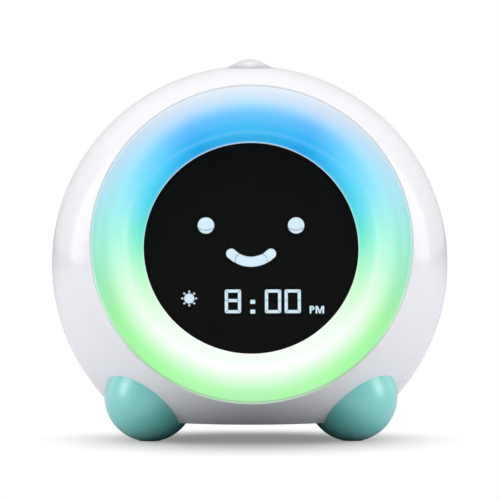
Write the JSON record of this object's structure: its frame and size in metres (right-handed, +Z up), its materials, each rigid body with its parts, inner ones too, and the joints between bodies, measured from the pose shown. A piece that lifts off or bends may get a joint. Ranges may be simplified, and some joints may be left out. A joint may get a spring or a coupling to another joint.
{
  "type": "alarm clock with night light",
  "caption": "Ball-shaped children's alarm clock on round feet: opal night-light ring round a smoked display, press button on top, flat back with keys, speaker grille and battery door.",
  "frame": {"origin": "on the table, under the middle of the clock's width and depth", "axes": "+Z up, the face looks along -Y and slightly up, +X to the right of someone facing the display"},
  "size_m": [0.15, 0.1084, 0.1423],
  "materials": {
    "white_shell": "glossy",
    "white_key": "glossy",
    "opal_ring": "satin",
    "white_reflector": "matte",
    "smoked_lens": "polished",
    "black_mask": "matte",
    "lit_segment": "matte",
    "circuit_board": "satin",
    "lamp": "satin",
    "chip": "matte",
    "flat_cable": "matte",
    "inner_plastic": "matte",
    "switch_body": "matte",
    "spring_steel": "drawn wire",
    "plated_steel": "zinc plated",
    "screw_steel": "zinc plated",
    "paper_cone": "pressed paper",
    "ferrite": "matte",
    "foam_gasket": "foam",
    "socket_body": "satin",
    "brass_pin": "plated",
    "cell": "shrink wrap",
    "teal_foot": "satin",
    "foot_rubber": "matte"
  },
  "bodies": {
    "clock": {"front_housing": "white_shell", "rear_cover": "white_shell", "light_ring": "opal_ring", "ring_reflector": "white_reflector", "ring_led_board": "circuit_board", "ring_leds": "lamp", "display_lens": "smoked_lens", "segment_mask": "black_mask", "segment_diffusers": "lit_segment", "display_board": "circuit_board", "segment_leds": "lamp", "main_board": "circuit_board", "board_chips": "chip", "ribbon_cable": "flat_cable", "button_spring": "spring_steel", "button_bracket": "inner_plastic", "top_switch": "switch_body", "speaker_frame": "plated_steel", "speaker_cone": "paper_cone", "speaker_magnet": "ferrite", "speaker_gasket": "foam_gasket", "speaker_clamp": "inner_plastic", "key_board": "circuit_board", "key_switches": "switch_body", "power_socket": "socket_body", "socket_pin": "brass_pin", "battery_box": "inner_plastic", "battery_cells": "cell", "battery_contacts": "spring_steel", "front_foot_left": "teal_foot", "front_foot_right": "teal_foot", "rear_foot_left": "teal_foot", "rear_foot_right": "teal_foot", "foot_pads": "foot_rubber", "housing_screws": "screw_steel", "ring_screws": "screw_steel", "board_screws": "screw_steel", "foot_screws": "screw_steel"},
    "top_button": {"top_button": "white_key"},
    "battery_door": {"battery_door": "white_shell"},
    "key_clock": {"key_clock": "white_key"},
    "key_alarm": {"key_alarm": "white_key"},
    "key_timer": {"key_timer": "white_key"},
    "key_light": {"key_light": "white_key"},
    "key_down": {"key_down": "white_key"},
    "key_up": {"key_up": "white_key"}
  },
  "joints": [
    {"name": "top_button_press", "type": "slide", "parent": "clock", "child": "top_button", "axis": [0, 0, -1], "range_m": [0, 0.0015], "stiffness_N_per_m": 800, "springref_m": -0.002, "deforming": ["button_spring"]},
    {"name": "key_clock_press", "type": "slide", "parent": "clock", "child": "key_clock", "axis": [0, -1, 0], "range_m": [0, 0.0008], "stiffness_N_per_m": 1200, "springref_m": -0.0008},
    {"name": "key_alarm_press", "type": "slide", "parent": "clock", "child": "key_alarm", "axis": [0, -1, 0], "range_m": [0, 0.0008], "stiffness_N_per_m": 1200, "springref_m": -0.0008},
    {"name": "key_timer_press", "type": "slide", "parent": "clock", "child": "key_timer", "axis": [0, -1, 0], "range_m": [0, 0.0008], "stiffness_N_per_m": 1200, "springref_m": -0.0008},
    {"name": "key_light_press", "type": "slide", "parent": "clock", "child": "key_light", "axis": [0, -1, 0], "range_m": [0, 0.0008], "stiffness_N_per_m": 1200, "springref_m": -0.0008},
    {"name": "key_down_press", "type": "slide", "parent": "clock", "child": "key_down", "axis": [0, -1, 0], "range_m": [0, 0.0008], "stiffness_N_per_m": 1200, "springref_m": -0.0008},
    {"name": "key_up_press", "type": "slide", "parent": "clock", "child": "key_up", "axis": [0, -1, 0], "range_m": [0, 0.0008], "stiffness_N_per_m": 1200, "springref_m": -0.0008},
    {"name": "battery_door_lift", "type": "slide", "parent": "clock", "child": "battery_door", "axis": [0, 1, 0], "range_m": [0, 0.02]}
  ]
}
